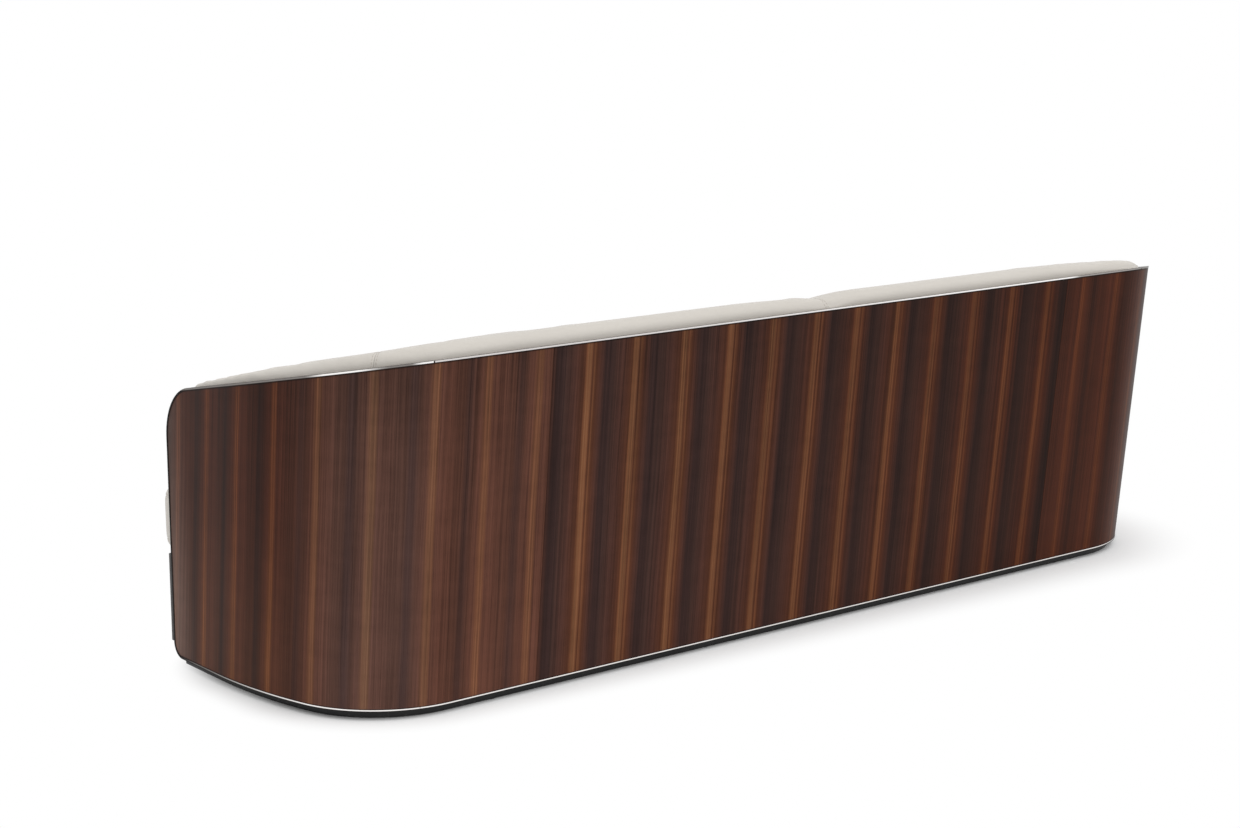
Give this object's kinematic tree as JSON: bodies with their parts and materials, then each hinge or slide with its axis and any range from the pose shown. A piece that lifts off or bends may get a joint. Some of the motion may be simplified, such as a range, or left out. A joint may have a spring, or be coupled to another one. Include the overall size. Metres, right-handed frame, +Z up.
{
  "type": "sofa",
  "caption": "Long low sofa with a bent veneered back and arms in one leaning shell, polished edge strip, recessed plinth, pale leather padding and loose seat cushions.",
  "frame": {"origin": "middle of the bounding box on the floor, z = 0 at the underside of the floor glides", "axes": "+X along the sofa towards the sitter's left arm, -Y the way the seat faces, +Z up"},
  "size_m": [2.674, 0.919, 0.8118],
  "materials": {
    "veneer": "dark slip-matched veneer under clear gloss lacquer",
    "polished_trim": "polished",
    "black_lacquer": "black satin lacquer",
    "apron_lacquer": "dark brown lacquer",
    "leather": "smooth pale greige leather",
    "plywood": "raw plywood",
    "beech": "raw hardwood",
    "webbing": "woven elastic strap",
    "deck_cloth": "plain lining cloth",
    "foam": "cut foam",
    "zinc_steel": "zinc plated",
    "glide_plastic": "matte"
  },
  "bodies": {
    "frame": {"back_shell": "veneer", "left_end_shell": "veneer", "right_end_shell": "veneer", "top_trim_back": "polished_trim", "bottom_trim_back": "polished_trim", "left_edge_trim": "polished_trim", "right_edge_trim": "polished_trim", "plinth_back_board": "black_lacquer", "plinth_left_board": "black_lacquer", "plinth_right_board": "black_lacquer", "plinth_front_board": "black_lacquer", "plinth_bearers": "black_lacquer", "left_arm_stile": "black_lacquer", "right_arm_stile": "black_lacquer", "front_apron": "apron_lacquer", "left_apron_return": "apron_lacquer", "right_apron_return": "apron_lacquer", "left_back_pad": "leather", "right_back_pad": "leather", "left_arm_pad": "leather", "right_arm_pad": "leather", "back_bottom_plate": "plywood", "left_bottom_plate": "plywood", "right_bottom_plate": "plywood", "front_bottom_plate": "plywood", "inner_back_board": "plywood", "left_inner_board": "plywood", "right_inner_board": "plywood", "top_rail_back": "plywood", "left_top_rail": "plywood", "right_top_rail": "plywood", "front_rail": "beech", "left_side_rail": "beech", "right_side_rail": "beech", "back_rail": "beech", "left_corner_board": "beech", "right_corner_board": "beech", "cross_rails": "beech", "back_posts": "beech", "left_arm_posts": "beech", "right_arm_posts": "beech", "cross_webbing": "webbing", "long_webbing": "webbing", "seat_deck_pad": "deck_cloth", "dust_cover": "deck_cloth", "shell_joint_plates": "zinc_steel", "joint_plate_screws": "zinc_steel", "post_brackets": "zinc_steel", "floor_glides": "glide_plastic"},
    "left_seat": {"left_seat_cushion": "leather", "left_seat_core": "foam"},
    "right_seat": {"right_seat_cushion": "leather", "right_seat_core": "foam"}
  },
  "joints": [
    {"name": "left_seat_lift", "type": "slide", "parent": "frame", "child": "left_seat", "axis": [0, 0, 1], "range_m": [0, 0.56]},
    {"name": "right_seat_lift", "type": "slide", "parent": "frame", "child": "right_seat", "axis": [0, 0, 1], "range_m": [0, 0.56]}
  ]
}
